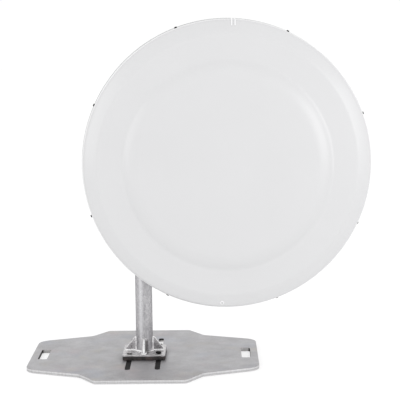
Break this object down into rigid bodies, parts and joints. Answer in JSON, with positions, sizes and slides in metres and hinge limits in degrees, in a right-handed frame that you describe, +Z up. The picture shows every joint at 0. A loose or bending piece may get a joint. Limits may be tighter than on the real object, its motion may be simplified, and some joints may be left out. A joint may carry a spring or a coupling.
{
  "type": "parabolic dish antenna on a ground plate",
  "caption": "Round parabolic microwave dish with a closed stepped radome, offset on a short galvanised mast that is bolted to a flat steel ground plate.",
  "frame": {"origin": "on the mast's axis, at the underside of the ground plate", "axes": "+Z up the mast; the dish faces -Y, turned 3 degrees towards +X; +X towards the side on which the dish hangs"},
  "size_m": [1.1853, 0.7382, 1.2143],
  "materials": {
    "galvanised_plate": "matt hot-dip galvanised plate",
    "galvanised_steel": "spangled hot-dip galvanised",
    "black_rubber": "matt black rubber",
    "black_steel": "black oxide and black paint",
    "stainless_steel": "plain stainless",
    "cast_aluminium": "as cast",
    "painted_reflector": "light grey paint on spun aluminium",
    "radome_plastic": "white moulded radome plastic, satin"
  },
  "bodies": {
    "root": {"ground_plate": "galvanised_plate", "mast_flange": "galvanised_steel", "gusset_front": "galvanised_steel", "gusset_right": "galvanised_steel", "gusset_back": "galvanised_steel", "gusset_left": "galvanised_steel", "mast_tube": "galvanised_steel", "pipe_bracket": "galvanised_steel", "saddle_upper": "galvanised_steel", "saddle_lower": "galvanised_steel", "azimuth_arm": "galvanised_steel", "elevation_bracket": "galvanised_steel", "flange_pad": "black_rubber", "mast_cap": "black_rubber", "port_cover": "black_rubber", "slide_bar_left": "black_steel", "slide_bar_right": "black_steel", "flange_bolt_front_left": "black_steel", "flange_bolt_front_right": "black_steel", "flange_bolt_back_left": "black_steel", "flange_bolt_back_right": "black_steel", "rim_screw_1": "black_steel", "rim_screw_2": "black_steel", "rim_screw_3": "black_steel", "rim_screw_4": "black_steel", "rim_screw_5": "black_steel", "rim_screw_6": "black_steel", "rim_screw_7": "black_steel", "rim_screw_8": "black_steel", "u_bolt_upper": "stainless_steel", "u_bolt_lower": "stainless_steel", "azimuth_pin": "stainless_steel", "azimuth_adjuster": "stainless_steel", "elevation_pivot_bolt": "stainless_steel", "elevation_lock_bolt": "stainless_steel", "hub_ring": "cast_aluminium", "feed_boss": "cast_aluminium", "reflector": "painted_reflector", "radome": "radome_plastic"}
  },
  "joints": []
}
